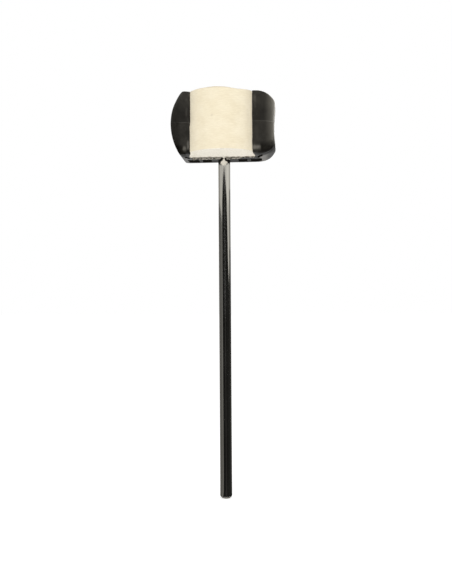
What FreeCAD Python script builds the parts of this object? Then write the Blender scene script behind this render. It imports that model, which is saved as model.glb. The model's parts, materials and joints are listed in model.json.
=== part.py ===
"""Bass drum beater: a chromed shaft carrying a black moulded head with a crowned felt face.

Millimetres, +Z up along the shaft. The origin is the centre of the shaft's lower end, and the
felt faces -Y. The left side of the head (-X) is a rounded hard face, the right side a flat one.
"""

import FreeCAD, Part
import math
import os

import Sketcher

# Driving sizes, each written once
SIZES = {
    # Shaft
    "shaft_diameter": 8.0,
    "shaft_reach": 225.7,
    "tip_chamfer": 1.3,
    "seat_diameter": 7.6,
    "shoulder_height": 6.0,
    "spigot_diameter": 6.4,
    "spigot_short": 0.5,
    "spigot_bevel": 0.4,
    "thread_diameter": 4.0,
    "thread_depth": 14.0,
    "drill_point": 1.2,
    # Head moulding
    "head_height": 38.75,
    "round_reach": 32.4,
    "flat_reach": 34.0,
    "front_depth": 23.2,
    "rear_depth": 15.0,
    "round_radius": 37.0,
    "round_edge": 3.2,
    "shoulder_width": 12.4,
    "shoulder_drop": 5.9,
    "shoulder_edge": 1.5,
    "face_sink": 0.75,
    "side_corner": 9.2,
    "lip_radius": 3.4,
    # Cored pockets in the underside, behind the shaft
    "pocket_start": 9.0,
    "inner_pocket_width": 6.2,
    "outer_pocket_width": 7.0,
    "pocket_rib": 2.2,
    "pocket_near": 3.0,
    "rear_wall": 2.5,
    "pocket_height": 29.0,
    # Narrow pockets beside the felt channel, also open below
    "side_pocket_wall": 1.3,
    "side_pocket_width": 2.4,
    "side_pocket_front": 12.5,
    "side_pocket_rear": 1.0,
    # Felt and its channel
    "felt_width": 39.4,
    "felt_back": 6.6,
    "felt_flare": 1.6,
    "felt_proud": 0.9,
    "felt_crown": 11.0,
    "felt_inset": 0.2,
    "adhesive_film": 0.3,
    # Metal bush in the head, with the screw and washers that clamp it
    "bush_diameter": 9.6,
    "bush_length": 18.0,
    "bush_bevel": 0.4,
    "washer_diameter": 8.4,
    "washer_bore": 4.3,
    "washer_thickness": 0.8,
    "spring_diameter": 7.6,
    "spring_bore": 4.3,
    "spring_thickness": 0.9,
    "screw_head_diameter": 7.0,
    "screw_head_height": 4.0,
    "screw_head_bevel": 0.4,
    "screw_length": 12.0,
    "screw_bevel": 0.5,
    "socket_flats": 3.0,
    "socket_depth": 2.2,
    # Fits
    "running_clearance": 0.05,
    "end_play": 0.05,
}
SPRING_SPLIT_DEGREES = 14.0
FULL_TURN_DEGREES = 360.0

doc = FreeCAD.newDocument("BassDrumBeater")
sheet = doc.addObject("Spreadsheet::Sheet", "Sizes")
for row, (alias, number) in enumerate(SIZES.items(), start=1):
    sheet.set(f"A{row}", str(number))
    sheet.setAlias(f"A{row}", alias)
doc.recompute()


class Size:
    """A length as its number now and as the formula that ties it to the sheet."""

    def __init__(self, number, formula):
        self.number = number
        self.formula = formula

    def __add__(self, other):
        return Size(self.number + other.number, f"({self.formula} + {other.formula})")

    def __sub__(self, other):
        return Size(self.number - other.number, f"({self.formula} - {other.formula})")

    def __neg__(self):
        return Size(-self.number, f"(-{self.formula})")

    def __mul__(self, other):
        return Size(self.number * other.number, f"({self.formula} * {other.formula})")

    def __truediv__(self, other):
        return Size(self.number / other.number, f"({self.formula} / {other.formula})")

    def half(self):
        return Size(self.number / 2, f"({self.formula} / 2)")

    def root(self):
        return Size(math.sqrt(self.number), f"sqrt({self.formula})")


def size(alias):
    return Size(float(sheet.get(alias)), f"Sizes.{alias}")


ZERO = Size(0.0, "0")


def drive(feature, prop, value):
    feature.setExpression(prop, value.formula)


def new_body(label, height=ZERO):
    """A sub-part whose own origin sits on the axis, at this height above the shaft's lower end."""
    body = doc.addObject("PartDesign::Body", label)
    body.Label = label
    drive(body, "Placement.Base.z", height)
    return body


def new_sketch(body, name, role, offset=ZERO):
    sketch = body.newObject("Sketcher::SketchObject", name)
    plane = next(item for item in body.Origin.OriginFeatures if item.Role == role)
    sketch.AttachmentSupport = [(plane, "")]
    sketch.MapMode = "FlatFace"
    drive(sketch, "AttachmentOffset.Base.z", offset)
    return sketch


def dimension(sketch, kind, geometry, point, value):
    """Tie one coordinate of a corner to its size, measured from the sketch's origin."""
    index = sketch.addConstraint(Sketcher.Constraint(kind, -1, 1, geometry, point, value.number))
    sketch.setExpression(f"Constraints[{index}]", value.formula)


def bound_radius(sketch, geometry, value):
    index = sketch.addConstraint(Sketcher.Constraint("Radius", geometry, value.number))
    sketch.setExpression(f"Constraints[{index}]", value.formula)


def arc_edge(start, end, centre, radius, clockwise):
    """An arc between two corners, and which of its own ends is the start and which the end."""
    first, last = (end, start) if clockwise else (start, end)
    angles = [math.atan2(p.y - centre.y, p.x - centre.x) for p in (first, last)]
    circle = Part.Circle(centre, FreeCAD.Vector(0, 0, 1), radius)
    return Part.ArcOfCircle(circle, *angles), (2, 1) if clockwise else (1, 2)


def draw_outline(sketch, corners, arcs=None):
    """Closed outline through (x, y) corners.

    arcs gives, for the corner that an arc leaves, its centre's x and y, its radius and whether it
    runs clockwise. Every other edge is straight.
    """
    arcs = arcs or {}
    points = [FreeCAD.Vector(x.number, y.number, 0) for x, y in corners]
    edges = []
    for index, start in enumerate(points):
        end = points[(index + 1) % len(points)]
        if index in arcs:
            x, y, radius, clockwise = arcs[index]
            centre = FreeCAD.Vector(x.number, y.number, 0)
            shape, ends = arc_edge(start, end, centre, radius.number, clockwise)
        else:
            shape, ends = Part.LineSegment(start, end), (1, 2)
        edges.append((sketch.addGeometry(shape), *ends))
    for index, (edge, start, end) in enumerate(edges):
        following = edges[(index + 1) % len(edges)]
        sketch.addConstraint(Sketcher.Constraint("Coincident", edge, end, following[0], following[1]))
        dimension(sketch, "DistanceX", edge, start, corners[index][0])
        dimension(sketch, "DistanceY", edge, start, corners[index][1])
        if index in arcs:
            bound_radius(sketch, edge, arcs[index][2])


def draw_circle(sketch, radius):
    circle = Part.Circle(FreeCAD.Vector(0, 0, 0), FreeCAD.Vector(0, 0, 1), radius.number)
    edge = sketch.addGeometry(circle)
    sketch.addConstraint(Sketcher.Constraint("Coincident", edge, 3, -1, 1))
    bound_radius(sketch, edge, radius)


def pad_up(body, sketch, height):
    pad = body.newObject("PartDesign::Pad", sketch.Name + "_pad")
    pad.Profile = sketch
    drive(pad, "Length", height)
    return pad


def cut_up(body, sketch, height=None):
    """Cut upwards from the sketch, right through where no height is given."""
    pocket = body.newObject("PartDesign::Pocket", sketch.Name + "_cut")
    pocket.Profile = sketch
    pocket.Reversed = True
    if height is None:
        pocket.Type = "ThroughAll"
    else:
        drive(pocket, "Length", height)
    return pocket


def turned(body, sketch, degrees=FULL_TURN_DEGREES):
    """Turn a half profile, drawn in the XZ plane, about the sub-part's own Z axis."""
    revolution = body.newObject("PartDesign::Revolution", sketch.Name + "_turn")
    revolution.Profile = sketch
    revolution.ReferenceAxis = (sketch, ["V_Axis"])
    revolution.Angle = degrees
    return revolution


# Heights inside the head, measured from its underside
reach = size("shaft_reach")
bush_seat = size("shoulder_height") + size("end_play")
bush_top = bush_seat + size("bush_length")
washer_seat = bush_top + size("end_play")
spring_seat = washer_seat + size("washer_thickness")
screw_seat = spring_seat + size("spring_thickness")
spigot_top = bush_top - size("spigot_short")


def make_shaft():
    body = new_body("shaft")
    radius = size("shaft_diameter").half()
    seat = size("seat_diameter").half()
    spigot = size("spigot_diameter").half()
    thread = size("thread_diameter").half()
    chamfer = size("tip_chamfer")
    bevel = size("spigot_bevel")
    seat_start = reach - size("end_play")
    shoulder = reach + size("shoulder_height")
    top = reach + spigot_top
    hole_end = top - size("thread_depth")
    profile = new_sketch(body, "shaft_profile", "XZ_Plane")
    draw_outline(profile, [
        (ZERO, ZERO),
        (radius - chamfer, ZERO),
        (radius, chamfer),
        (radius, seat_start),
        (seat, seat_start),
        (seat, shoulder),
        (spigot, shoulder),
        (spigot, top - bevel),
        (spigot - bevel, top),
        (thread, top),
        (thread, hole_end),
        (ZERO, hole_end - size("drill_point")),
    ])
    turned(body, profile)
    return body


def make_head_outline(body):
    """Front view of the head: rounded hard face on the left, and on the right a nearly flat one.

    The right face sinks a little at mid height, between a round shoulder above and one below.
    """
    top = size("head_height")
    middle = top.half()
    radius = size("round_radius")
    centre = radius - size("round_reach")
    arc_end = centre - (radius * radius - middle * middle).root()
    flat = size("flat_reach")
    across = size("shoulder_width")
    drop = size("shoulder_drop")
    inner = flat - across
    shoulder = (across * across / drop + drop).half()
    sink = size("face_sink")
    rise = middle - drop
    dish = (rise * rise / sink + sink).half()
    sketch = new_sketch(body, "front_view", "XZ_Plane")
    draw_outline(
        sketch,
        [
            (arc_end, ZERO),
            (inner, ZERO),
            (flat, drop),
            (flat, top - drop),
            (inner, top),
            (arc_end, top),
        ],
        {
            1: (inner, shoulder, shoulder, False),
            2: (flat - sink + dish, middle, dish, True),
            3: (inner, top - shoulder, shoulder, False),
            5: (centre, middle, radius, False),
        },
    )
    block = body.newObject("PartDesign::Pad", "block")
    block.Profile = sketch
    block.SideType = "Two sides"
    drive(block, "Length", size("front_depth"))
    drive(block, "Length2", size("rear_depth"))
    return block


def round_edges(body, base, name, chosen, radius):
    """Round the edges of the last feature that are chosen."""
    doc.recompute()
    names = [f"Edge{index}" for index, edge in enumerate(base.Shape.Edges, start=1) if chosen(edge)]
    fillet = body.newObject("PartDesign::Fillet", name)
    fillet.Base = (base, names)
    drive(fillet, "Radius", radius)
    return fillet


def is_round_face_edge(edge):
    """One of the two long edges where the rounded face meets the front and the rear."""
    return hasattr(edge.Curve, "Radius") and edge.BoundBox.XMax < 0


def is_shoulder_edge(edge):
    """One of the two edges where a shoulder meets the flat face."""
    inside = size("flat_reach") - size("shoulder_width").half()
    return not hasattr(edge.Curve, "Radius") and edge.BoundBox.XMin > inside.number


def round_right_corners(body):
    """Round the two upright corners of the flat face, seen from above."""
    flat = size("flat_reach")
    corner = size("side_corner")
    inner = flat - corner
    outside = flat + corner
    for name, face, toward in (
        ("front_corner", -size("front_depth"), corner),
        ("rear_corner", size("rear_depth"), -corner),
    ):
        sketch = new_sketch(body, name, "XY_Plane")
        draw_outline(
            sketch,
            [
                (inner, face),
                (flat, face + toward),
                (outside, face + toward),
                (outside, face - toward),
                (inner, face - toward),
            ],
            {0: (inner, face + toward, corner, toward.number < 0)},
        )
        cut_up(body, sketch)


def round_front_lip(body):
    """Round the foot of the front with one cut that runs right across the head."""
    lip = size("lip_radius")
    face = -size("front_depth")
    sketch = new_sketch(body, "front_lip", "YZ_Plane")
    draw_outline(
        sketch,
        [
            (face, lip),
            (face + lip, ZERO),
            (face + lip, -lip),
            (face - lip, -lip),
            (face - lip, lip),
        ],
        {0: (face + lip, lip, lip, False)},
    )
    pocket = body.newObject("PartDesign::Pocket", "front_lip_cut")
    pocket.Profile = sketch
    pocket.Type = "ThroughAll"
    pocket.SideType = "Symmetric"


def channel_half_width(depth):
    """Half the felt channel's width, this far in front of the shaft's axis: it widens to the back."""
    front = size("front_depth")
    share = (front - depth) / (front - size("felt_back"))
    return size("felt_width").half() + size("felt_flare") * share


def cut_felt_channel(body):
    back = size("felt_back")
    mouth = size("front_depth") + size("felt_proud")
    sketch = new_sketch(body, "felt_channel", "XY_Plane")
    draw_outline(sketch, [
        (-channel_half_width(back), -back),
        (-channel_half_width(mouth), -mouth),
        (channel_half_width(mouth), -mouth),
        (channel_half_width(back), -back),
    ])
    cut_up(body, sketch)


def cut_shaft_holes(body):
    """The hole for the shaft's turned seat, and above its ledge the bush's bore, open at the top."""
    hole = new_sketch(body, "shaft_hole", "XY_Plane")
    draw_circle(hole, size("seat_diameter").half() + size("running_clearance"))
    cut_up(body, hole)
    bore = new_sketch(body, "bush_bore", "XY_Plane", bush_seat)
    draw_circle(bore, size("bush_diameter").half())
    cut_up(body, bore)


def cut_cored_pockets(body):
    """Pockets on each side, open below: two behind the shaft and a narrow one beside the felt."""
    near = size("pocket_near")
    far = size("rear_depth") - size("rear_wall")
    inner_end = size("pocket_start") + size("inner_pocket_width")
    outer_start = inner_end + size("pocket_rib")
    outer_end = outer_start + size("outer_pocket_width")
    side_start = channel_half_width(size("felt_back")) + size("side_pocket_wall")
    side_end = side_start + size("side_pocket_width")
    side_near, side_far = -size("side_pocket_front"), -size("side_pocket_rear")
    for name, low, high, front, rear in (
        ("inner", size("pocket_start"), inner_end, near, far),
        ("outer", outer_start, outer_end, near, far),
        ("side", side_start, side_end, side_near, side_far),
    ):
        for side, first, last in (("right", low, high), ("left", -high, -low)):
            sketch = new_sketch(body, f"{name}_{side}_pocket", "XY_Plane")
            draw_outline(sketch, [(first, front), (last, front), (last, rear), (first, rear)])
            cut_up(body, sketch, size("pocket_height"))


def make_head_moulding():
    body = new_body("head_moulding", reach)
    block = make_head_outline(body)
    softened = round_edges(body, block, "shoulder_edges", is_shoulder_edge, size("shoulder_edge"))
    round_edges(body, softened, "round_face_edges", is_round_face_edge, size("round_edge"))
    round_right_corners(body)
    round_front_lip(body)
    cut_felt_channel(body)
    cut_shaft_holes(body)
    cut_cored_pockets(body)
    return body


def make_front_felt():
    """Felt block, wider at its back, with a crown that stands out in front of the head."""
    body = new_body("front_felt", reach + size("felt_inset"))
    back = size("felt_back") + size("adhesive_film")
    edge = size("front_depth") + size("felt_proud")
    half = channel_half_width(edge)
    crown = size("felt_crown")
    radius = ((half * half) / crown + crown).half()
    sketch = new_sketch(body, "felt_plan", "XY_Plane")
    draw_outline(
        sketch,
        [
            (-channel_half_width(back), -back),
            (-half, -edge),
            (half, -edge),
            (channel_half_width(back), -back),
        ],
        {1: (ZERO, radius - edge - crown, radius, False)},
    )
    pad_up(body, sketch, size("head_height") - size("felt_inset") - size("felt_inset"))
    return body


def make_felt_adhesive():
    """Thin film between the back of the channel and the felt."""
    body = new_body("felt_adhesive", reach + size("felt_inset"))
    back = size("felt_back")
    face = back + size("adhesive_film")
    sketch = new_sketch(body, "film_plan", "XY_Plane")
    draw_outline(sketch, [
        (-channel_half_width(back), -back),
        (-channel_half_width(face), -face),
        (channel_half_width(face), -face),
        (channel_half_width(back), -back),
    ])
    pad_up(body, sketch, size("head_height") - size("felt_inset") - size("felt_inset"))
    return body


def make_shaft_bush():
    body = new_body("shaft_bush", reach + bush_seat)
    inner = size("spigot_diameter").half() + size("running_clearance")
    outer = size("bush_diameter").half()
    length = size("bush_length")
    bevel = size("bush_bevel")
    profile = new_sketch(body, "bush_profile", "XZ_Plane")
    draw_outline(profile, [
        (inner, ZERO),
        (outer - bevel, ZERO),
        (outer, bevel),
        (outer, length - bevel),
        (outer - bevel, length),
        (inner, length),
    ])
    turned(body, profile)
    return body


def make_ring(label, seat, outer, inner, thickness, degrees=FULL_TURN_DEGREES):
    body = new_body(label, reach + seat)
    profile = new_sketch(body, f"{label}_profile", "XZ_Plane")
    draw_outline(profile, [
        (inner.half(), ZERO),
        (outer.half(), ZERO),
        (outer.half(), thickness),
        (inner.half(), thickness),
    ])
    turned(body, profile, degrees)
    return body


def make_clamp_screw():
    """Cap screw with a hexagon socket, its origin under the head."""
    body = new_body("clamp_screw", reach + screw_seat)
    head = size("screw_head_diameter").half()
    height = size("screw_head_height")
    shank = size("thread_diameter").half()
    length = size("screw_length")
    head_bevel = size("screw_head_bevel")
    end_bevel = size("screw_bevel")
    profile = new_sketch(body, "screw_profile", "XZ_Plane")
    draw_outline(profile, [
        (ZERO, -length),
        (shank - end_bevel, -length),
        (shank, end_bevel - length),
        (shank, ZERO),
        (head, ZERO),
        (head, height - head_bevel),
        (head - head_bevel, height),
        (ZERO, height),
    ])
    turned(body, profile)
    socket = new_sketch(body, "hexagon_socket", "XY_Plane", height - size("socket_depth"))
    apothem = size("socket_flats").half()
    three = Size(3.0, "3")
    half_side = apothem / three.root()
    side = half_side + half_side
    draw_outline(socket, [
        (side, ZERO),
        (half_side, apothem),
        (-half_side, apothem),
        (-side, ZERO),
        (-half_side, -apothem),
        (half_side, -apothem),
    ])
    cut_up(body, socket, size("socket_depth"))
    return body


def make_parts():
    return [
        make_shaft(),
        make_head_moulding(),
        make_front_felt(),
        make_felt_adhesive(),
        make_shaft_bush(),
        make_ring(
            "flat_washer", washer_seat, size("washer_diameter"), size("washer_bore"),
            size("washer_thickness"),
        ),
        make_ring(
            "spring_washer", spring_seat, size("spring_diameter"), size("spring_bore"),
            size("spring_thickness"), FULL_TURN_DEGREES - SPRING_SPLIT_DEGREES,
        ),
        make_clamp_screw(),
    ]


def check_document(bodies):
    """Stop before anything is written if a feature failed, a cut missed or a sub-part isn't one solid."""
    for item in doc.Objects:
        if {"Invalid", "Error"} & set(item.State):
            raise RuntimeError(f"{item.Name} failed: {item.State}")
        if item.TypeId == "PartDesign::Pocket":
            if item.Shape.Volume >= item.BaseFeature.Shape.Volume:
                raise RuntimeError(f"{item.Name} cuts nothing")
    for body in bodies:
        shape = body.Shape
        if shape.isNull() or not shape.isValid() or len(shape.Solids) != 1:
            raise RuntimeError(f"{body.Label} is not one valid solid")


bodies = make_parts()
doc.recompute()
check_document(bodies)
os.makedirs("parts", exist_ok=True)
for body in bodies:
    body.Shape.exportStep(f"parts/{body.Label}.step")
    box = body.Shape.optimalBoundingBox()
    print(f"{body.Label}: volume {body.Shape.Volume:.1f}, z {box.ZMin:.2f} to {box.ZMax:.2f}")
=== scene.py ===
"""Looks of a bass drum beater: a chromed shaft, a black moulded head and a crowned felt face."""

import json
import math

import bmesh
import bpy
import numpy as np
from mathutils import Matrix, Vector, noise


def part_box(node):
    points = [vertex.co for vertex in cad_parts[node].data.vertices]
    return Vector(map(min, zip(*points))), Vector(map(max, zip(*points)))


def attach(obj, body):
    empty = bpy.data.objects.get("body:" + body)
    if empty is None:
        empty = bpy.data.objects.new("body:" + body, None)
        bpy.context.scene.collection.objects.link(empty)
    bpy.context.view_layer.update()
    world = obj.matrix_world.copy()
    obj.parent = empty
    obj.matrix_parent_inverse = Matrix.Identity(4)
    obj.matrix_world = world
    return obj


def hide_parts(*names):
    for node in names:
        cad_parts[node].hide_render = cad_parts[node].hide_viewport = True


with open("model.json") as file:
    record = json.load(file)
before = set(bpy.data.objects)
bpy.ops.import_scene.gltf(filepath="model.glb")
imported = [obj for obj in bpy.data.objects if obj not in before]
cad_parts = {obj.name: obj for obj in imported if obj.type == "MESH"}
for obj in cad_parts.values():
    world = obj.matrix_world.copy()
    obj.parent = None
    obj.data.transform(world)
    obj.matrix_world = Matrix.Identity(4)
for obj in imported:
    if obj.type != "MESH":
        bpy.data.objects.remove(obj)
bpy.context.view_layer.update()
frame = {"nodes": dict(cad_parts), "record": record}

MM = 0.001
WHITE = (1.0, 1.0, 1.0, 1.0)

# Places that the frame gives
GRIP = next(mount for mount in frame["record"]["mounts"] if mount["name"] == "shaft_grip")
SHAFT_RADIUS = GRIP["dims"]["r_mm"] * MM
GRIP_START = GRIP["pos_m"][2]
GRIP_END = GRIP_START + GRIP["dims"]["length_mm"] * MM
SHAFT_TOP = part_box("shaft")[1].z
HEAD_LOW, HEAD_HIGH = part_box("head_moulding")
FELT_LOW, FELT_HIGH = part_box("front_felt")
HEAD_MIDDLE = (HEAD_LOW.z + HEAD_HIGH.z) / 2
HEAD_HALF_HEIGHT = (HEAD_HIGH.z - HEAD_LOW.z) / 2

# Places of the share and of the colours among the sockets of a Mix node
MIX_SHARE = 0
MIX_FIRST = 6
MIX_SECOND = 7
MIX_RESULT = 2


class Surface:
    """A node material with its textures laid out in the piece's own space."""

    def __init__(self, name):
        self.material = bpy.data.materials.new(name)
        self.material.use_nodes = True
        self.nodes = self.material.node_tree.nodes
        self.links = self.material.node_tree.links
        self.shader = self.nodes["Principled BSDF"]
        self.place = self.nodes.new("ShaderNodeTexCoord").outputs["Object"]

    def set(self, **values):
        """Constant inputs of the shader, with _ for each space in their names."""
        for name, value in values.items():
            self.shader.inputs[name.replace("_", " ")].default_value = value

    def feed(self, socket, output):
        self.links.new(output, self.shader.inputs[socket])

    def noise(self, grain, stretch=(1, 1, 1), detail=4.0, roughness=0.5):
        """Noise whose blobs are about one grain across, drawn out along each axis by stretch."""
        mapping = self.nodes.new("ShaderNodeMapping")
        mapping.inputs["Scale"].default_value = [1 / (grain * factor) for factor in stretch]
        self.links.new(self.place, mapping.inputs["Vector"])
        texture = self.nodes.new("ShaderNodeTexNoise")
        texture.inputs["Scale"].default_value = 1.0
        texture.inputs["Detail"].default_value = detail
        texture.inputs["Roughness"].default_value = roughness
        self.links.new(mapping.outputs["Vector"], texture.inputs["Vector"])
        return texture.outputs["Fac"]

    def mask(self, name):
        """A mask that is stored on the mesh."""
        node = self.nodes.new("ShaderNodeAttribute")
        node.attribute_name = name
        return node.outputs["Fac"]

    def ramp(self, value, *stops):
        """Colours or greys at places from 0 to 1."""
        node = self.nodes.new("ShaderNodeValToRGB")
        elements = node.color_ramp.elements
        while len(elements) < len(stops):
            elements.new(0.5)
        for element, (place, colour) in zip(elements, stops):
            element.position = place
            element.color = (*colour, 1.0) if isinstance(colour, tuple) else (colour, colour, colour, 1.0)
        self.links.new(value, node.inputs["Fac"])
        return node.outputs["Color"]

    def mix(self, share, first, second):
        """Second over first by share. Share is an output or a number."""
        node = self.nodes.new("ShaderNodeMix")
        node.data_type = "RGBA"
        if isinstance(share, float):
            node.inputs[MIX_SHARE].default_value = share
        else:
            self.links.new(share, node.inputs[MIX_SHARE])
        self.links.new(first, node.inputs[MIX_FIRST])
        self.links.new(second, node.inputs[MIX_SECOND])
        return node.outputs[MIX_RESULT]

    def bump(self, height, depth, strength, under=None):
        node = self.nodes.new("ShaderNodeBump")
        node.inputs["Distance"].default_value = depth
        node.inputs["Strength"].default_value = strength
        self.links.new(height, node.inputs["Height"])
        if under is not None:
            self.links.new(under, node.inputs["Normal"])
        return node.outputs["Normal"]


# Materials


def chrome():
    """Polished plating with faint draw lines along the rod and smudges."""
    surface = Surface("chrome")
    surface.set(Metallic=1.0)
    lines = surface.noise(0.12 * MM, stretch=(1, 1, 160))
    smudges = surface.noise(9 * MM, stretch=(1, 1, 3), detail=5)
    surface.feed("Base Color", surface.ramp(smudges, (0.3, (0.81, 0.80, 0.78)), (0.7, (0.87, 0.86, 0.84))))
    surface.feed("Roughness", surface.ramp(smudges, (0.35, 0.05), (0.75, 0.13)))
    surface.feed("Normal", surface.bump(lines, 0.004 * MM, 0.5))
    return surface.material


def plated_steel():
    surface = Surface("plated_steel")
    surface.set(Metallic=1.0)
    grain = surface.noise(0.4 * MM, detail=6)
    surface.feed("Base Color", surface.ramp(grain, (0.3, (0.42, 0.42, 0.40)), (0.7, (0.56, 0.55, 0.52))))
    surface.feed("Roughness", surface.ramp(grain, (0.3, 0.28), (0.7, 0.45)))
    surface.feed("Normal", surface.bump(grain, 0.02 * MM, 0.4))
    return surface.material


def turned_brass():
    surface = Surface("turned_brass")
    surface.set(Metallic=1.0)
    rings = surface.noise(0.2 * MM, stretch=(40, 40, 1))
    surface.feed("Base Color", surface.ramp(rings, (0.3, (0.60, 0.43, 0.17)), (0.7, (0.74, 0.55, 0.25))))
    surface.feed("Roughness", surface.ramp(rings, (0.3, 0.25), (0.7, 0.38)))
    surface.feed("Normal", surface.bump(rings, 0.02 * MM, 0.4))
    return surface.material


def dried_adhesive():
    """Dark glue, with pale fibres stuck in it where the mask says so."""
    surface = Surface("dried_adhesive")
    lumps = surface.noise(0.9 * MM, stretch=(1.6, 1, 1), detail=5)
    glue = surface.ramp(lumps, (0.3, (0.006, 0.005, 0.003)), (0.7, (0.022, 0.017, 0.010)))
    tones = ((0.38, (0.020, 0.017, 0.012)), (0.47, (0.20, 0.185, 0.155)), (0.64, (0.46, 0.42, 0.36)))
    surface.feed("Base Color", surface.mix(surface.mask("fibres"), glue, surface.ramp(lumps, *tones)))
    surface.feed("Roughness", surface.ramp(lumps, (0.3, 0.45), (0.7, 0.8)))
    surface.feed("Normal", surface.bump(lumps, 0.2 * MM, 0.6))
    return surface.material


def black_plastic():
    """Satin moulding: fine grain, painted light and shade on the skin with cloudy tone, pale worn scuff
    marks with painted highlights and a painted floor reflection, and painted shade that takes the gloss
    away.
    """
    surface = Surface("black_plastic")
    surface.set(Specular_Tint=(1.0, 0.95, 0.86, 1.0))
    grain = surface.noise(0.25 * MM, detail=3)
    clouds = surface.noise(6 * MM, detail=5, roughness=0.6)
    # Near black for painted shade, the pale skin tone where painted light is kept
    deep = surface.ramp(clouds, (0.3, (0.0012, 0.0011, 0.0009)), (0.72, (0.0040, 0.0037, 0.0030)))
    pale = surface.ramp(clouds, (0.3, (0.0165, 0.0149, 0.0121)), (0.72, (0.0245, 0.0223, 0.0183)))
    # Pale tone for worn scuff marks and the seam, and for painted highlights and a painted floor
    # reflection
    rubs_and_highlights = surface.ramp(clouds, (0.35, (0.10, 0.093, 0.080)), (0.7, (0.16, 0.15, 0.13)))
    skin = surface.mix(surface.mask("painted_skin_light"), deep, pale)
    surface.feed("Base Color", surface.mix(surface.mask("rubs_and_highlights"), skin, rubs_and_highlights))
    surface.feed("Roughness", surface.ramp(clouds, (0.3, 0.36), (0.7, 0.50)))
    # Painted shade takes the gloss away, so those places look darker
    gloss = surface.ramp(surface.mask("painted_shade"), (0.0, 0.48), (0.9, 0.02), (1.0, 0.0))
    surface.feed("Specular IOR Level", gloss)
    surface.feed("Normal", surface.bump(grain, 0.02 * MM, 0.5))
    return surface.material


def pressed_felt():
    """Cream wool felt: streaks of fibre across the face, paler speckled cut ends, painted shade on the
    sides, a darker upper edge, a dirty speck and glue.
    """
    surface = Surface("pressed_felt")
    surface.set(Roughness=1.0, Specular_IOR_Level=0.15, Sheen_Weight=0.25, Sheen_Roughness=0.6)
    fibres = surface.noise(0.35 * MM, stretch=(9, 9, 1), detail=6, roughness=0.65)
    blotches = surface.noise(7 * MM, stretch=(2, 1, 1), detail=4)
    speckle = surface.noise(0.9 * MM, detail=5, roughness=0.7)
    streaked = surface.ramp(fibres, (0.3, (0.76, 0.66, 0.46)), (0.7, (0.95, 0.86, 0.66)))
    clouded = surface.ramp(blotches, (0.35, (0.86, 0.76, 0.55)), (0.65, (0.96, 0.88, 0.69)))
    face = surface.mix(0.4, streaked, clouded)
    cut_tones = ((0.3, (0.55, 0.48, 0.37)), (0.48, (0.89, 0.83, 0.70)), (0.7, (0.95, 0.91, 0.80)))
    wool = surface.mix(surface.mask("cut_end"), face, surface.ramp(speckle, *cut_tones))
    # Darker tone: painted shade on the sides, the darker upper edge and a dirty speck
    shade_and_dirt = surface.ramp(speckle, (0.3, (0.36, 0.29, 0.19)), (0.7, (0.54, 0.45, 0.31)))
    shaded_and_soiled = surface.mix(surface.mask("shade_and_soil"), wool, shade_and_dirt)
    glue = surface.ramp(speckle, (0.3, (0.045, 0.030, 0.012)), (0.7, (0.20, 0.14, 0.06)))
    surface.feed("Base Color", surface.mix(surface.mask("glued"), shaded_and_soiled, glue))
    fine = surface.bump(speckle, 0.12 * MM, 0.6)
    surface.feed("Normal", surface.bump(fibres, 0.15 * MM, 0.6, under=fine))
    return surface.material


# Objects and meshes


def add_object(name, data):
    thing = bpy.data.objects.new(name, data)
    bpy.context.scene.collection.objects.link(thing)
    return thing


def add_piece(name, mesh, material, body, slot, *nodes):
    """A finished mesh as a piece that rides on a body and stands for its CAD nodes."""
    piece = add_object(name, mesh)
    mesh.materials.clear()
    mesh.materials.append(material)
    mesh.polygons.foreach_set("use_smooth", [True] * len(mesh.polygons))
    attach(piece, body)
    if nodes:
        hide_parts(*nodes)
    return piece


def remeshed(node, voxel, smoothing):
    """The CAD node's shape as an even mesh whose edges are softened by rounds of smoothing."""
    copy = add_object("remesh_source", frame["nodes"][node].data.copy())
    remesh = copy.modifiers.new("even", "REMESH")
    remesh.mode = "VOXEL"
    remesh.voxel_size = voxel
    smooth = copy.modifiers.new("soften", "SMOOTH")
    smooth.iterations = smoothing
    mesh = bpy.data.meshes.new_from_object(copy.evaluated_get(bpy.context.evaluated_depsgraph_get()))
    bpy.data.objects.remove(copy)
    return mesh


def vectors_of(mesh, field):
    """One row of three numbers for each vertex."""
    vectors = np.empty(len(mesh.vertices) * 3, np.float32)
    mesh.vertices.foreach_get(field, vectors)
    return vectors.reshape(-1, 3).astype(float)


def points_of(mesh):
    return vectors_of(mesh, "co")


def normals_of(mesh):
    return vectors_of(mesh, "normal")


def move_points(mesh, points):
    mesh.vertices.foreach_set("co", points.astype(np.float32).ravel())
    mesh.update()


def store_mask(mesh, name, values):
    mask = mesh.attributes.new(name, "FLOAT", "POINT")
    mask.data.foreach_set("value", np.clip(values, 0, 1).astype(np.float32))


# Shares from 0 to 1, and noise


def rising(values, low, high):
    """0 below low, 1 above high and a smooth rise between them."""
    share = np.clip((values - low) / (high - low), 0, 1)
    return share * share * (3 - 2 * share)


def falling(values, low, high):
    return 1 - rising(values, low, high)


def between(values, start, end):
    """1 between a smooth start and a smooth end, each from its low to its high, and 0 outside them."""
    return rising(values, *start) * falling(values, *end)


def spot(values, centre, spread):
    """1 at the centre, falling off on both sides."""
    return np.exp(-((values - centre) / spread) ** 2)


def noise_at(points, grain, stretch=(1, 1, 1)):
    """Smooth noise from -1 to 1 at each point."""
    scaled = points / (np.array(stretch) * grain)
    return np.array([noise.noise(Vector(point)) for point in scaled])


def noise_along(place, grain, row):
    """Smooth noise from -1 to 1 along a line, different for each row."""
    return noise.noise(Vector((place / grain, row, 0)))


# Share of the way that each round of smoothing goes
SMOOTHING_STEP = 0.5


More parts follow.
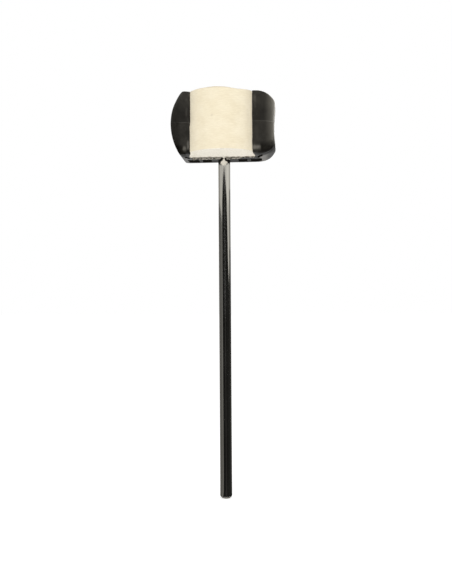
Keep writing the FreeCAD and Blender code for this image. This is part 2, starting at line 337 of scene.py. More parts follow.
def smoothed(mesh, points, weights, rounds):
    """Points drawn towards the middle of their neighbours, as far as their weights allow."""
    pairs = np.empty(len(mesh.edges) * 2, np.int32)
    mesh.edges.foreach_get("vertices", pairs)
    pairs = pairs.reshape(-1, 2)
    pairs = pairs[(weights[pairs] > 0).any(axis=1)]
    used, local = np.unique(pairs, return_inverse=True)
    near, far = local.reshape(-1, 2).T
    neighbours = np.bincount(local.ravel())[:, None]
    pull = SMOOTHING_STEP * weights[used][:, None]
    moving = points[used]
    for _ in range(rounds):
        total = np.zeros_like(moving)
        np.add.at(total, near, moving[far])
        np.add.at(total, far, moving[near])
        moving = moving + pull * (total / neighbours - moving)
    result = points.copy()
    result[used] = moving
    return result


# The tops of the head and of the felt rise a little, most of all towards the rounded face
TOP_LIFT = 0.45 * MM
LIFT_HEIGHT = (5 * MM, 19 * MM)
HEAD_LIFT_ACROSS = (-60 * MM, 0 * MM)
FELT_LIFT_ACROSS = (-12 * MM, 4 * MM)
CORNER_LIFT = 0.55 * MM
CORNER_LIFT_ACROSS = (18.5 * MM, 25.5 * MM)
CORNER_LIFT_HEIGHT = (13 * MM, 19 * MM)
CORNER_LIFT_DEPTH = (0 * MM, 36 * MM)


def lift_top(points, across):
    height = points[:, 2] - HEAD_MIDDLE
    points[:, 2] += TOP_LIFT * rising(-points[:, 0], *across) * rising(height, *LIFT_HEIGHT)
    corner = rising(-points[:, 0], *CORNER_LIFT_ACROSS) * rising(height, *CORNER_LIFT_HEIGHT)
    points[:, 2] += CORNER_LIFT * corner * falling(points[:, 1] - HEAD_LOW.y, *CORNER_LIFT_DEPTH)


# Shaft
TIP_CHAMFER = GRIP_START
SPIGOT_RADIUS = 0.8 * SHAFT_RADIUS
EDGE_RADIUS = 0.22 * MM
EDGE_STEPS = 5
SHAFT_SEGMENTS = 160
SHAFT_RINGS = 24
SHARP_ANGLE = math.radians(35)


def rounded_corner(before, corner, after, radius):
    """Points of a curve that rounds one corner of a profile."""
    to_before = (before - corner).normalized()
    to_after = (after - corner).normalized()
    half = to_before.angle(to_after) / 2
    start = corner + to_before * radius / math.tan(half)
    end = corner + to_after * radius / math.tan(half)
    points = []
    for step in range(EDGE_STEPS + 1):
        share = step / EDGE_STEPS
        points.append(start * (1 - share) ** 2 + corner * 2 * share * (1 - share) + end * share ** 2)
    return points


def shaft_profile():
    """Half section of the rod, as radius and height, from its chamfered end up to its spigot."""
    corners = [
        Vector((0, 0)),
        Vector((SHAFT_RADIUS - TIP_CHAMFER, 0)),
        Vector((SHAFT_RADIUS, TIP_CHAMFER)),
        Vector((SHAFT_RADIUS, GRIP_END)),
    ]
    profile = rounded_corner(*corners[0:3], EDGE_RADIUS) + rounded_corner(*corners[1:4], EDGE_RADIUS)
    wall_start = profile[-1].y
    for ring in range(1, SHAFT_RINGS + 1):
        profile.append(Vector((SHAFT_RADIUS, wall_start + (GRIP_END - wall_start) * ring / SHAFT_RINGS)))
    return profile + [Vector((SPIGOT_RADIUS, GRIP_END)), Vector((SPIGOT_RADIUS, SHAFT_TOP))]


def tube_mesh(name, rings):
    """A closed mesh through rings of points, each ring joined to the next and the two ends capped."""
    shape = bmesh.new()
    rows = [[shape.verts.new(point) for point in ring] for ring in rings]
    for lower, upper in zip(rows, rows[1:]):
        for index in range(len(lower)):
            following = (index + 1) % len(lower)
            shape.faces.new((lower[index], lower[following], upper[following], upper[index]))
    shape.faces.new(rows[0])
    shape.faces.new(rows[-1])
    bmesh.ops.recalc_face_normals(shape, faces=shape.faces)
    mesh = bpy.data.meshes.new(name)
    shape.to_mesh(mesh)
    shape.free()
    return mesh


def make_shaft():
    turns = [math.tau * segment / SHAFT_SEGMENTS for segment in range(SHAFT_SEGMENTS)]
    rings = []
    for point in shaft_profile():
        rings.append([(point.x * math.cos(turn), point.x * math.sin(turn), point.y) for turn in turns])
    mesh = tube_mesh("chromed_shaft", rings)
    add_piece("chromed_shaft", mesh, chrome(), "shaft", "chrome", "shaft")
    mesh.set_sharp_from_angle(angle=SHARP_ANGLE)


# Head moulding
HEAD_VOXEL = 0.35 * MM
HEAD_SMOOTHING = 2
PARTING_HALF_WIDTH = 0.28 * MM
PARTING_HEIGHT = 0.09 * MM
PARTING_RUB = 0.3
PARTING_RUB_END = (25 * MM, 28 * MM)
DRAFT = 0.45 * MM
SKIN_RADIUS = (7 * MM, 13 * MM)


def cut_parting_line(mesh):
    """Rows of points along the parting plane, so that a fine ridge can be raised there."""
    shape = bmesh.new()
    shape.from_mesh(mesh)
    for height in (-PARTING_HALF_WIDTH, 0, PARTING_HALF_WIDTH):
        everything = shape.verts[:] + shape.edges[:] + shape.faces[:]
        plane = (0, 0, HEAD_MIDDLE + height)
        bmesh.ops.bisect_plane(shape, geom=everything, plane_co=plane, plane_no=(0, 0, 1))
    shape.to_mesh(mesh)
    shape.free()
    mesh.update()


# Lower front corner beside the flat face, softened
CORNER_ROUNDS = 300
CORNER_ACROSS = (20.5 * MM, 24 * MM)
CORNER_BEHIND = (6 * MM, 11 * MM)
CORNER_HEIGHT = (6 * MM, 11 * MM)
CORNER_FILL = np.array((0.2, 0.4, 0.6)) * MM


def soften_corner(mesh, points, normals):
    behind = points[:, 1] - HEAD_LOW.y
    corner = rising(points[:, 0], *CORNER_ACROSS) * falling(behind, *CORNER_BEHIND)
    corner = corner * falling(points[:, 2] - HEAD_LOW.z, *CORNER_HEIGHT)
    return smoothed(mesh, points, corner, CORNER_ROUNDS) + normals * CORNER_FILL * corner[:, None]


# Small pockets beside the felt, which run askew
POCKET_ACROSS = ((21.4 * MM, 22.2 * MM), (25.6 * MM, 28 * MM))
POCKET_FRONT = ((5 * MM, 10 * MM), (11 * MM, 22 * MM))
POCKET_REAR = ((11 * MM, 22 * MM), (23 * MM, 28 * MM))
POCKET_FRONT_SHIFT = (5.3 * MM, 1.9 * MM)
POCKET_REAR_SHIFT = (0 * MM, -4.5 * MM)
POCKET_SIDES = (22.6 * MM, 25 * MM)


def slant_pockets(points):
    """Moves the front and rear ends of each pocket, by other lengths on its outer side than inside."""
    across, behind = np.abs(points[:, 0]), points[:, 1] - HEAD_LOW.y
    front = between(behind, *POCKET_FRONT) * np.interp(across, POCKET_SIDES, POCKET_FRONT_SHIFT)
    rear = between(behind, *POCKET_REAR) * np.interp(across, POCKET_SIDES, POCKET_REAR_SHIFT)
    points[:, 1] += between(across, *POCKET_ACROSS) * (front + rear)


# Sides of the head: the rounded face fuller and drawn in at its top, the flat face fuller and sunk
ROUND_FACE = (22 * MM, 27 * MM)
ROUND_FULLER = 0.42 * MM
ROUND_DRAWN_IN = 1.75 * MM
ROUND_DRAWN_FROM = 4 * MM
ROUND_DRAWN_POWER = 2.5
FLAT_FACE = (26 * MM, 31 * MM)
FLAT_FULLER = 0.27 * MM
FLAT_SUNK = 0.25 * MM
FLAT_SPREAD = 9 * MM
FLAT_FOOT_FULLER = 0.8 * MM
FLAT_FOOT_ACROSS = (22 * MM, 27 * MM)
FLAT_FOOT_HEIGHT = (0 * MM, 6 * MM)


def trim_sides(points):
    x, height = points[:, 0], points[:, 2] - HEAD_MIDDLE
    to_top = np.clip((height - ROUND_DRAWN_FROM) / (HEAD_HALF_HEIGHT - ROUND_DRAWN_FROM), 0, 1)
    drawn_in = ROUND_DRAWN_IN * to_top ** ROUND_DRAWN_POWER - ROUND_FULLER
    sunk = FLAT_SUNK * spot(height, 0, FLAT_SPREAD)
    foot = FLAT_FULLER + FLAT_FOOT_FULLER * falling(points[:, 2] - HEAD_LOW.z, *FLAT_FOOT_HEIGHT)
    flat = foot * rising(x, *FLAT_FOOT_ACROSS) - sunk * rising(x, *FLAT_FACE)
    points[:, 0] += drawn_in * rising(-x, *ROUND_FACE) + flat


# Pale marks on the front: painted highlights on both lower lips, on a line beside the felt and in upright
# streaks, and worn scuff marks
LIP_HEIGHT = 2.9 * MM
LIP_SPREAD = 1.25 * MM
RIGHT_LIP = ((19.4 * MM, 20.2 * MM), (24.6 * MM, 25.5 * MM))
LEFT_LIP = ((22.1 * MM, 23.0 * MM), (24.0 * MM, 25.2 * MM))
RIGHT_LIP_STRENGTH = 1.15
LEFT_LIP_STRENGTH = 0.9
LINE_STRENGTH = 0.9
LINE_ACROSS = 21.3 * MM
LINE_SPREAD = 0.4 * MM
LINE_HEIGHT = ((1.8 * MM, 3 * MM), (6.5 * MM, 8.5 * MM))
SCUFF_STRENGTH = 0.3
SCUFF_GRAIN = 1.1 * MM
SCUFF_STRETCH = (0.6, 1, 2.5)
SCUFF_LEVEL = (0.2, 0.6)
SCUFF_ACROSS = (20.5 * MM, 24.5 * MM)
STREAKS = ((-22.2 * MM, 6.4 * MM), (21.7 * MM, 14.9 * MM))
STREAK_STRENGTH = 0.3
STREAK_WIDTH = 0.5 * MM
STREAK_HEIGHT = 2.4 * MM
PALE_MEAN = 0.85
PALE_SWING = 0.35
PALE_GRAIN = 1.3 * MM
PALE_DEPTH = (2 * MM, 4 * MM)


def rubs_and_highlights_on_front(points):
    """Pale places: painted highlights along the lower lips, beside the felt and in upright streaks, and
    worn scuff marks.
    """
    x, above = points[:, 0], points[:, 2] - HEAD_LOW.z
    lips = RIGHT_LIP_STRENGTH * between(x, *RIGHT_LIP) + LEFT_LIP_STRENGTH * between(-x, *LEFT_LIP)
    lips *= spot(above, LIP_HEIGHT, LIP_SPREAD)
    line = LINE_STRENGTH * spot(x, -LINE_ACROSS, LINE_SPREAD) * between(above, *LINE_HEIGHT)
    marks = rising(noise_at(points, SCUFF_GRAIN, SCUFF_STRETCH), *SCUFF_LEVEL)
    scuffs_and_streaks = SCUFF_STRENGTH * marks * falling(np.abs(x), *SCUFF_ACROSS)
    # Upright streaks are painted highlights
    for across, height in STREAKS:
        upright = spot(points[:, 2] - HEAD_MIDDLE, height, STREAK_HEIGHT)
        scuffs_and_streaks += STREAK_STRENGTH * spot(x, across, STREAK_WIDTH) * upright
    uneven = PALE_MEAN + PALE_SWING * noise_at(points, PALE_GRAIN)
    return (lips + line + scuffs_and_streaks) * uneven * falling(points[:, 1] - HEAD_LOW.y, *PALE_DEPTH)


# Painted light and shade on the skin: paler below the parting line, towards the top and beside the felt,
# darker just above the parting line and on the rounded face, with cloudy random tone
LIGHT_BELOW = 0.8
LIGHT_BELOW_STEP = (-0.3 * MM, 0.3 * MM)
LIGHT_TOP = (4 * MM, 14 * MM)
LIGHT_LEAST = 0.2
LIGHT_BESIDE = 0.35
LIGHT_BESIDE_ACROSS = (21.5 * MM, 24 * MM)
ROUND_FACE_SHADE = 0.75
ROUND_FACE_SHADE_ACROSS = (25 * MM, 28 * MM)
SKIN_CLOUDS = ((0.55, 4 * MM), (0.35, 1.3 * MM))


def painted_light_of_skin(points):
    """Share of painted light on the skin: 1 keeps the pale skin tone, 0 gives near black painted shade."""
    x, height = points[:, 0], points[:, 2] - HEAD_MIDDLE
    lower = LIGHT_BELOW * falling(height, *LIGHT_BELOW_STEP)
    upper = rising(height, *LIGHT_TOP)
    beside = LIGHT_LEAST + LIGHT_BESIDE * falling(np.abs(x), *LIGHT_BESIDE_ACROSS)
    clear = 1 - ROUND_FACE_SHADE * rising(-x, *ROUND_FACE_SHADE_ACROSS)
    cloudy = 1 + sum(swing * noise_at(points, grain) for swing, grain in SKIN_CLOUDS)
    return np.maximum(np.maximum(lower, upper), beside) * clear * cloudy


# Painted shade on the underside, where both sides of the front turn under, and in the slot beside the felt
SHADE_SHARE = 0.9
SHADE_OVER_LIGHT = 0.35
UNDERSIDE_SLOPE = (0.75, 0.95)
UNDERSIDE_HEIGHT = (0.3 * MM, 0.8 * MM)
UNDERSIDE_ACROSS = (20.5 * MM, 23 * MM)
TURN_ACROSS = (18.5 * MM, 20 * MM)
TURN_BEHIND_RIGHT = (14 * MM, 22 * MM)
TURN_BEHIND_LEFT = (12 * MM, 18 * MM)
LEFT_EASING = 0.1
LEFT_EASING_BEHIND = (0 * MM, 12 * MM)
ROUND_SIDE_ACROSS = (26.5 * MM, 28 * MM)
ROUND_SIDE_BEHIND = (3 * MM, 9 * MM)
TURN_TOP = (1 * MM, 5 * MM)
TURN_TOP_ACROSS = (23 * MM, 25 * MM)
TURN_TOP_SPREAD = 1.5 * MM
SLOT_ACROSS = ((20.6 * MM, 21.2 * MM), (23.5 * MM, 24.5 * MM))
SLOT_BEHIND = ((13 * MM, 16 * MM), (25 * MM, 28 * MM))


def painted_shade_of_skin(points, normals):
    """Painted shade: where the plastic loses its gloss and its skin turns darker."""
    x, behind, above = points[:, 0], points[:, 1] - HEAD_LOW.y, points[:, 2] - HEAD_LOW.z
    across = np.abs(x)
    flat = rising(-normals[:, 2], *UNDERSIDE_SLOPE) * falling(above, *UNDERSIDE_HEIGHT)
    underside = SHADE_SHARE * flat * falling(across, *UNDERSIDE_ACROSS)
    top = TURN_TOP[0] + (TURN_TOP[1] - TURN_TOP[0]) * rising(across, *TURN_TOP_ACROSS)
    turn = rising(across, *TURN_ACROSS) * falling(above - top, -TURN_TOP_SPREAD, TURN_TOP_SPREAD)
    right = SHADE_SHARE * falling(behind, *TURN_BEHIND_RIGHT)
    left = falling(behind, *TURN_BEHIND_LEFT) * (1 - LEFT_EASING * rising(behind, *LEFT_EASING_BEHIND))
    left *= 1 - rising(across, *ROUND_SIDE_ACROSS) * rising(behind, *ROUND_SIDE_BEHIND)
    slot = SHADE_SHARE * between(x, *SLOT_ACROSS) * between(behind, *SLOT_BEHIND)
    return np.maximum(np.maximum(underside, turn * np.where(x > 0, right, left)), slot)


# Painted reflection of the pale floor, paler on the faces that turn down below the flat face
BELOW_LIGHT_SHARE = 0.9
BELOW_LIGHT_ACROSS = ((22.5 * MM, 24.5 * MM), (27 * MM, 31 * MM))
BELOW_LIGHT_BEHIND = (12 * MM, 18 * MM)
BELOW_LIGHT_SLOPE = (0.2, 0.6)


def painted_light_below(points, normals):
    # Paler on faces that turn down, a painted reflection of the pale floor
    beneath = between(points[:, 0], *BELOW_LIGHT_ACROSS) * rising(points[:, 1] - HEAD_LOW.y, *BELOW_LIGHT_BEHIND)
    return BELOW_LIGHT_SHARE * beneath * rising(-normals[:, 2], *BELOW_LIGHT_SLOPE)


def head_mesh():
    mesh = remeshed("head_moulding", HEAD_VOXEL, HEAD_SMOOTHING)
    cut_parting_line(mesh)
    points = points_of(mesh)
    normals = normals_of(mesh)
    height = points[:, 2] - HEAD_MIDDLE
    outside = rising(np.hypot(points[:, 0], points[:, 1]), *SKIN_RADIUS)
    points = soften_corner(mesh, points, normals)
    slant_pockets(points)
    trim_sides(points)

    # Draft of the two mould halves, and the flash ridge between them
    points[:, 1] *= 1 - DRAFT / -HEAD_LOW.y * np.abs(height) / HEAD_HALF_HEIGHT * outside
    upright = 1 - np.abs(normals[:, 2])
    ridge = falling(np.abs(height), 0, PARTING_HALF_WIDTH) * outside * upright
    points += normals * (ridge * PARTING_HEIGHT)[:, None]
    lift_top(points, HEAD_LIFT_ACROSS)

    move_points(mesh, points)
    # Painted shade: darker skin and no gloss on the underside, where the front turns under and in the slot
    painted_shade = painted_shade_of_skin(points, normals)
    seam = PARTING_RUB * ridge * falling(-points[:, 0], *PARTING_RUB_END)
    # Pale marks: painted highlights on the lips, line and streaks, a painted floor reflection, worn scuff
    # marks and the seam
    store_mask(mesh, "rubs_and_highlights", rubs_and_highlights_on_front(points) + painted_light_below(points, normals) + seam)
    # Painted light on the skin, lowered where painted shade falls
    store_mask(mesh, "painted_skin_light", painted_light_of_skin(points) * (1 - SHADE_OVER_LIGHT * painted_shade))
    store_mask(mesh, "painted_shade", painted_shade)
    return mesh


def make_head():
    add_piece("moulded_head", head_mesh(), black_plastic(), "head", "black_plastic", "head_moulding")


# Felt
FELT_VOXEL = 0.4 * MM
FELT_SMOOTHING = 7
CUT_SLOPE = (0.25, 0.85)

# Form of the felt: relief of its fibres, its left edge spread over the plastic, its foot and its top
FIBRE_RELIEF = 0.07 * MM
FIBRE_GRAIN = 0.8 * MM
FIBRE_STRETCH = (7, 7, 1)
FUZZ_GRAIN = 0.7 * MM
LUMP_RELIEF = 0.12 * MM
LUMP_GRAIN = 6 * MM
LEFT_SPREAD = 0.35 * MM
SPREAD_ACROSS = (16 * MM, 19.5 * MM)
SPREAD_DEPTH = (-0.5 * MM, 0.6 * MM)
SPREAD_BELOW = (-4 * MM, 1 * MM)
LEFT_FOOT_SPREAD = 1.05 * MM
LEFT_FOOT_DEPTH = (HEAD_LOW.y - 2 * MM, FELT_HIGH.y - 4 * MM)
LEFT_FOOT_RISE = (0.3 * MM, 2.5 * MM)
TONGUE_REACH = 2.2 * MM
TONGUE_PLACE = 0.35 * MM
TONGUE_SPREAD = 1.2 * MM
TONGUE_HEIGHT = (0.6 * MM, 2 * MM)
TOP_DIP = 0.55 * MM
TOP_DIP_PLACE = 10.5 * MM
TOP_DIP_SPREAD = 5.5 * MM
HANG_DROP = 0.5 * MM
HANG_MEAN = 0.8
HANG_SWING = 0.4
HANG_GRAIN = 1.5 * MM
HANG_HEIGHT = (0.5 * MM, 4 * MM)
HANG_DEPTH = (-9 * MM, -0.5 * MM)


def shape_felt(points, normals, cut_end):
    """Points of the felt with relief, a spread edge, and a foot that hangs and reaches for the shaft."""
    streaks = noise_at(points, FIBRE_GRAIN, FIBRE_STRETCH) * (1 - cut_end)
    fuzz = noise_at(points, FUZZ_GRAIN) * cut_end
    relief = FIBRE_RELIEF * (streaks + fuzz) + LUMP_RELIEF * noise_at(points, LUMP_GRAIN)
    points = points + normals * relief[:, None]
    x, height, above = points[:, 0].copy(), points[:, 2] - HEAD_MIDDLE, points[:, 2] - FELT_LOW.z
    proud = falling(points[:, 1] - HEAD_LOW.y, *SPREAD_DEPTH)
    to_back = rising(points[:, 1] - FELT_HIGH.y, *HANG_DEPTH)
    foot = to_back * falling(above, *HANG_HEIGHT)
    left = rising(-x, *SPREAD_ACROSS)
    left_edge = left * proud * falling(height, *SPREAD_BELOW)
    left_foot = left * rising(points[:, 1], *LEFT_FOOT_DEPTH) * falling(above, *LEFT_FOOT_RISE)
    tongue = to_back * spot(x, TONGUE_PLACE, TONGUE_SPREAD) * falling(above, *TONGUE_HEIGHT)
    points[:, 0] -= LEFT_SPREAD * left_edge + LEFT_FOOT_SPREAD * left_foot
    points[:, 1] += TONGUE_REACH * tongue
    uneven = HANG_MEAN + HANG_SWING * noise_at(points, HANG_GRAIN)
    points[:, 2] -= HANG_DROP * uneven * np.maximum(foot, left_foot)
    points[:, 2] -= TOP_DIP * spot(x, TOP_DIP_PLACE, TOP_DIP_SPREAD) * rising(height, *LIFT_HEIGHT)
    lift_top(points, FELT_LIFT_ACROSS)
    return points


# Painted shade on the felt's sides, a darker upper edge, a dirty speck, and the glue that has soaked into
# its back
SIDE_SHADE = 0.16
SIDE_SHADE_ACROSS = (13 * MM, 20 * MM)
SIDE_SHADE_SWING = 0.8
SIDE_SHADE_GRAIN = 2 * MM
SIDE_SHADE_STRETCH = (1, 1, 2)
TOP_EDGE_DARK = 0.45
TOP_EDGE_DARK_BELOW = (0.45 * MM, 0.95 * MM)
TOP_EDGE_DARK_ACROSS = (6 * MM, 13 * MM)
SPECK_SOIL = 0.3
SPECK_PLACE = (-4.7 * MM, HEAD_MIDDLE + 1.725 * MM)
SPECK_SPREAD = 0.7 * MM
GLUED_DEPTH = (-2.2 * MM, -1.2 * MM)
GLUED_SWING = 2.2 * MM
GLUED_GRAIN = 1.4 * MM
GLUED_STRETCH = (2, 1, 1)


def shade_and_soil_on_felt(points, cut_end):
    """Painted shade along both sides, mottled, darker on the middle of the upper edge, and one dirty speck
    on the face.
    """
    x, z = points[:, 0], points[:, 2]
    uneven = 1 + SIDE_SHADE_SWING * noise_at(points, SIDE_SHADE_GRAIN, SIDE_SHADE_STRETCH)
    # Painted shade towards both sides of the crowned face, mottled
    sides = SIDE_SHADE * rising(np.abs(x), *SIDE_SHADE_ACROSS) * uneven
    below_top = FELT_HIGH.z + TOP_LIFT * rising(-x, *FELT_LIFT_ACROSS) - z
    # Darker along the middle of the upper edge of the face
    edge = TOP_EDGE_DARK * falling(below_top, *TOP_EDGE_DARK_BELOW) * falling(np.abs(x), *TOP_EDGE_DARK_ACROSS)
    speck = SPECK_SOIL * spot(np.hypot(x - SPECK_PLACE[0], z - SPECK_PLACE[1]), 0, SPECK_SPREAD)
    return sides + edge * (1 - cut_end) + speck


def glue_on_felt(points):
    """Glue at the back, with a ragged front and none on the foot's tongue."""
    ragged = GLUED_SWING * noise_at(points, GLUED_GRAIN, GLUED_STRETCH)
    soaked = rising(points[:, 1] + ragged - FELT_HIGH.y, *GLUED_DEPTH)
    return soaked * (1 - spot(points[:, 0], TONGUE_PLACE, TONGUE_SPREAD))


def felt_mesh():
    mesh = remeshed("front_felt", FELT_VOXEL, FELT_SMOOTHING)
    normals = normals_of(mesh)
    cut_end = rising(np.abs(normals[:, 2]), *CUT_SLOPE)
    points = shape_felt(points_of(mesh), normals, cut_end)
    move_points(mesh, points)
    store_mask(mesh, "cut_end", cut_end)
    # Painted shade on the sides, a darker upper edge and a dirty speck
    store_mask(mesh, "shade_and_soil", shade_and_soil_on_felt(points, cut_end))
    store_mask(mesh, "glued", glue_on_felt(points))
    return mesh


def make_felt():
    piece = add_piece("felt_face", felt_mesh(), pressed_felt(), "head", "cream_felt", "front_felt")


# Ridge of adhesive and fibres that has come out along the felt's lower back edge
RIDGE_STATIONS = 260
RIDGE_SIDES = 14
RIDGE_DEPTH = 0.6 * MM
RIDGE_DROP = 1.75 * MM
RIDGE_END_DROP = 0.8 * MM
RIDGE_THIN = (9 * MM, 12 * MM)
RIDGE_GAP = (0.7 * MM, 2.4 * MM)
RIDGE_WANDER = 0.35 * MM
RIDGE_WANDER_GRAIN = 2.3 * MM
RIDGE_WANDER_ROW = 0.5
RIDGE_MEAN = 0.9
RIDGE_SWING = 0.25
RIDGE_GRAIN = 0.9 * MM
RIDGE_ROW = 7.5
RIDGE_LEAST = 0.1 * MM
RIDGE_FIBRES = (0, 0.3)


def ridge_mesh():
    """A ragged fringe that hangs below the underside, with a gap in front of the shaft."""
    half = (FELT_HIGH.x - FELT_LOW.x) / 2 - RIDGE_DEPTH
    rings = []
    for station in range(RIDGE_STATIONS + 1):
        along = half * (2 * station / RIDGE_STATIONS - 1)
        wander = noise_along(along, RIDGE_WANDER_GRAIN, RIDGE_WANDER_ROW)
        ragged = RIDGE_MEAN + RIDGE_SWING * noise_along(along, RIDGE_GRAIN, RIDGE_ROW)
        full = RIDGE_DROP - (RIDGE_DROP - RIDGE_END_DROP) * rising(along, *RIDGE_THIN)
        drop = max(full * ragged * rising(abs(along), *RIDGE_GAP), RIDGE_LEAST)
        centre = Vector((along, FELT_HIGH.y + RIDGE_DEPTH / 2 + RIDGE_WANDER * wander, HEAD_LOW.z))
        ring = []
        for side in range(RIDGE_SIDES):
            turn = math.tau * side / RIDGE_SIDES
            ring.append(centre + Vector((0, RIDGE_DEPTH * math.cos(turn), drop * math.sin(turn))))
        rings.append(ring)
    mesh = tube_mesh("adhesive_ridge", rings)
    store_mask(mesh, "fibres", rising(-normals_of(mesh)[:, 1], *RIDGE_FIBRES))
    return mesh


def make_adhesive_ridge(material):
    add_piece("adhesive_ridge", ridge_mesh(), material, "head", "adhesive")


def finish_inner_pieces(adhesive):
    """The fastening inside the head keeps its solids, each with its own finish."""
    steel = plated_steel()
    finishes = {
        "clamp_screw": steel,
        "spring_washer": steel,
        "flat_washer": steel,
        "shaft_bush": turned_brass(),
        "felt_adhesive": adhesive,
    }
    for node, material in finishes.items():
        mesh = frame["nodes"][node].data
        mesh.materials.clear()
        mesh.materials.append(material)


# Studio
FLOOR_SIZE = 8.0
FLOOR_TONE = (0.9, 0.9, 0.9, 1.0)
FLOOR_GLOW = 0.35
FLOOR_SHOWN_GLOW = 0.15
AMBIENT = 0.62
SEEN_WHITE = 1.0
KEY_PLACE = (0.1, -1.35, 0.75)
KEY_TARGET = (0, 0, 0.22)
KEY_POWER = 6.5
KEY_SIZE = 1.2


def empty_tree(owner):
    """The nodes and links of a material or of the world, with nothing in them."""
    owner.use_nodes = True
    owner.node_tree.nodes.clear()
    return owner.node_tree.nodes, owner.node_tree.links


def shown_ray(nodes, links):
    """1 for a ray that the camera, a mirror or glass sends, and 0 for one that lights a surface."""
    path = nodes.new("ShaderNodeLightPath")
    shown = path.outputs["Is Camera Ray"]
    for kind in ("Is Glossy Ray", "Is Transmission Ray"):
        either = nodes.new("ShaderNodeMath")
        either.operation = "MAXIMUM"
        links.new(shown, either.inputs[0])
        links.new(path.outputs[kind], either.inputs[1])
        shown = either.outputs[0]
    return shown


def make_floor():
    """Pale floor, a light table that shows white in the picture and still takes the beater's shadow."""
    mesh = bpy.data.meshes.new("floor")
    half = FLOOR_SIZE / 2
    corners = [(-half, -half, 0), (half, -half, 0), (half, half, 0), (-half, half, 0)]
    mesh.from_pydata(corners, [], [(0, 1, 2, 3)])
    floor = add_object("floor", mesh)
    material = bpy.data.materials.new("pale_floor")
    nodes, links = empty_tree(material)
    paint = nodes.new("ShaderNodeBsdfDiffuse")
    paint.inputs["Color"].default_value = FLOOR_TONE
    glow = nodes.new("ShaderNodeEmission")
    strength = nodes.new("ShaderNodeMath")
    strength.operation = "MULTIPLY_ADD"
    strength.inputs[1].default_value = FLOOR_SHOWN_GLOW
    strength.inputs[2].default_value = FLOOR_GLOW
    links.new(shown_ray(nodes, links), strength.inputs[0])
    links.new(strength.outputs[0], glow.inputs["Strength"])
    both = nodes.new("ShaderNodeAddShader")
    links.new(paint.outputs[0], both.inputs[0])
    links.new(glow.outputs[0], both.inputs[1])
    output = nodes.new("ShaderNodeOutputMaterial")
    links.new(both.outputs[0], output.inputs["Surface"])
    mesh.materials.append(material)


def make_world():
    """White wherever it is seen, and a plain grey light from all sides on the surfaces."""
    world = bpy.data.worlds.new("studio")
    bpy.context.scene.world = world
    nodes, links = empty_tree(world)
    mix = nodes.new("ShaderNodeMixShader")
    links.new(shown_ray(nodes, links), mix.inputs["Fac"])
    for socket, strength in zip(mix.inputs[1:], (AMBIENT, SEEN_WHITE)):
        background = nodes.new("ShaderNodeBackground")
        background.inputs["Color"].default_value = WHITE
        background.inputs["Strength"].default_value = strength
        links.new(background.outputs[0], socket)
    output = nodes.new("ShaderNodeOutputWorld")
    links.new(mix.outputs[0], output.inputs["Surface"])


def make_key_lamp():
    lamp = bpy.data.lights.new("key", "AREA")
    lamp.energy = KEY_POWER
    lamp.shape = "DISK"
    lamp.size = KEY_SIZE
    holder = add_object("key", lamp)
    holder.location = KEY_PLACE
    holder.rotation_euler = (Vector(KEY_TARGET) - Vector(KEY_PLACE)).to_track_quat("-Z", "Y").to_euler()


# Lines around the beater where cards meet: azimuths to the right in degrees, each with its height
FRONT_LINE = ((-42, 0.335), (-25, 0.40), (-8, 0.41), (2, 0.42), (17, 0.405), (45, 0.36))
RIGHT_LINE = ((45, 0.36), (60, 0.275), (70, 0.205), (85, 0.16), (100, 0.19))
RIGHT_MIDDLE_LINE = ((45, 0.37), (60, 0.34), (100, 0.34))
LEFT_LINE = ((-150, 0.345), (-99, 0.335), (-72, 0.322), (-58, 0.312), (-42, 0.305))
LEFT_HIGH_LINE = ((-150, 0.345), (-99, 0.335), (-88, 0.33), (-72, 0.322), (-42, 0.305))

# Level heights where cards meet
ON_FLOOR = 0
BACK_LOW = 0.235
BACK_MIDDLE = 0.37
BACK_HIGH = 0.52
FRONT_MIDDLE = 0.455
RIGHT_HIGH = 0.6
CARD_TOP = 1.2
SOFTBOX_TOP = 1.6

# Cards that only mirrors see: tone, first and last azimuth, lower edge and upper edge
CARDS = {
    "front_left_card": (0.008, (-42, 2), ON_FLOOR, FRONT_LINE),
    "front_gap_card": (0.025, (2, 17), ON_FLOOR, FRONT_LINE),
    "front_right_card": (0.009, (17, 45), ON_FLOOR, FRONT_LINE),
    "right_low_card": (0.013, (45, 100), ON_FLOOR, RIGHT_LINE),
    "right_back_low_card": (0.040, (100, 165), ON_FLOOR, BACK_LOW),
    "right_back_middle_card": (0.20, (100, 165), BACK_LOW, BACK_MIDDLE),
    "right_back_high_card": (0.40, (100, 165), BACK_MIDDLE, BACK_HIGH),
    "left_low_card": (0.103, (-150, -58), ON_FLOOR, LEFT_LINE),
    "left_near_card": (0.160, (-58, -42), ON_FLOOR, LEFT_LINE),
    "left_back_high_card": (0.28, (-150, -88), LEFT_HIGH_LINE, CARD_TOP),
    "left_high_card": (0.46, (-88, -42), LEFT_HIGH_LINE, CARD_TOP),
    "front_high_card": (0.51, (-42, 45), FRONT_LINE, FRONT_MIDDLE),
    "front_top_card": (0.22, (-42, 45), FRONT_MIDDLE, CARD_TOP),
    "right_middle_card": (0.49, (45, 100), RIGHT_LINE, RIGHT_MIDDLE_LINE),
    "right_high_card": (0.63, (45, 100), RIGHT_MIDDLE_LINE, RIGHT_HIGH),
    "right_softbox": (3.2, (60, 100), RIGHT_HIGH, SOFTBOX_TOP),
    "right_back_softbox": (4.6, (100, 172), BACK_HIGH, SOFTBOX_TOP),
}
CARD_TINT = (1.02, 0.99, 0.90, 1.0)
CARD_DISTANCE = 1.2
CARD_STEP_DEGREES = 5
CARD_ROWS = 3
CARD_FOOT = 6 * MM
CARD_LIFT = 0.5 * MM


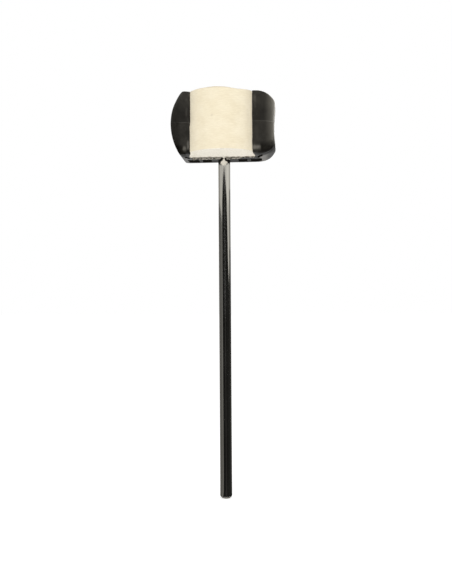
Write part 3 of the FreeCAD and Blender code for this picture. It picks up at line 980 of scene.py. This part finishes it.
def card_material(name, tone):
    """A plain glow with the cards' warm tint."""
    material = bpy.data.materials.new(name)
    nodes, links = empty_tree(material)
    glow = nodes.new("ShaderNodeEmission")
    glow.inputs["Color"].default_value = CARD_TINT
    glow.inputs["Strength"].default_value = tone
    output = nodes.new("ShaderNodeOutputMaterial")
    links.new(glow.outputs[0], output.inputs["Surface"])
    return material


def height_at(azimuth, line):
    """Height of a line at an azimuth. A level line is a single number."""
    return np.interp(azimuth, *zip(*line)) if isinstance(line, tuple) else line


def card_mesh(name, reach, lower, upper):
    """A card curved around the beater. One that stands on the floor has a foot that runs to the shaft."""
    first_azimuth, last_azimuth = reach
    azimuths = np.arange(first_azimuth, last_azimuth + 1, CARD_STEP_DEGREES)
    # The last column ends where the card ends
    azimuths[-1] = last_azimuth
    inside = CARD_FOOT if lower == ON_FLOOR else CARD_DISTANCE
    points, faces = [], []
    for azimuth in azimuths:
        turn = math.radians(azimuth)
        outward = Vector((math.sin(turn), -math.cos(turn), 0))
        bottom = max(height_at(azimuth, lower), CARD_LIFT)
        top = height_at(azimuth, upper)
        for distance, height in ((inside, bottom), (CARD_DISTANCE, bottom), (CARD_DISTANCE, top)):
            points.append(outward * distance + Vector((0, 0, height)))
    for column in range(len(azimuths) - 1):
        for row in range(CARD_ROWS - 1):
            first = CARD_ROWS * column + row
            faces.append((first, first + 1, first + CARD_ROWS + 1, first + CARD_ROWS))
    mesh = bpy.data.meshes.new(name)
    mesh.from_pydata(points, [], faces)
    return mesh


# Round card on the floor, the contact shadow that the shaft's end mirrors
END_CARD_TONE = 0.20
END_CARD_RADIUS = 6.5 * MM
END_CARD_HEIGHT = 0.02 * MM


def end_card_mesh():
    points = []
    for azimuth in range(0, 360, CARD_STEP_DEGREES):
        turn = math.radians(azimuth)
        across, along = END_CARD_RADIUS * math.cos(turn), END_CARD_RADIUS * math.sin(turn)
        points.append((across, along, END_CARD_HEIGHT))
    mesh = bpy.data.meshes.new("shaft_end_card")
    mesh.from_pydata(points, [], [range(len(points))])
    return mesh


def make_card(name, tone, mesh):
    mesh.materials.append(card_material(name, tone))
    card = add_object(name, mesh)
    card.visible_camera = False
    card.visible_diffuse = False
    card.visible_transmission = False
    card.visible_shadow = False


# Camera, as the photograph was taken: level, a little to the right of the felt
IMAGE_HEIGHT_PIXELS = 584
FOCAL_PIXELS = 742.6
SENSOR_WIDTH = 36.0
CAMERA_DISTANCE = 494.72 * MM
CAMERA_AZIMUTH = math.radians(4.53)
CAMERA_ROLL = -0.00606
CAMERA_HEIGHT = 136.97 * MM
CAMERA_ASIDE = 0.66 * MM


def make_camera():
    camera = bpy.data.cameras.new("photo_camera")
    camera.sensor_width = SENSOR_WIDTH
    camera.lens = FOCAL_PIXELS / IMAGE_HEIGHT_PIXELS * SENSOR_WIDTH
    holder = add_object("photo_camera", camera)
    right = Vector((math.cos(CAMERA_AZIMUTH), math.sin(CAMERA_AZIMUTH), 0))
    back = Vector((math.sin(CAMERA_AZIMUTH), -math.cos(CAMERA_AZIMUTH), 0))
    up = Vector((0, 0, 1))
    place = right * CAMERA_ASIDE + back * CAMERA_DISTANCE + up * CAMERA_HEIGHT
    turned = Matrix((right, up, back)).transposed() @ Matrix.Rotation(CAMERA_ROLL, 3, "Z")
    holder.matrix_world = Matrix.Translation(place) @ turned.to_4x4()
    bpy.context.scene.camera = holder


make_shaft()
make_head()
make_felt()
adhesive_finish = dried_adhesive()
make_adhesive_ridge(adhesive_finish)
finish_inner_pieces(adhesive_finish)
make_floor()
make_world()
make_key_lamp()
for card_name, (card_tone, *card_form) in CARDS.items():
    make_card(card_name, card_tone, card_mesh(card_name, *card_form))
make_card("shaft_end_card", END_CARD_TONE, end_card_mesh())
make_camera()
bpy.context.scene.view_settings.view_transform = "Standard"
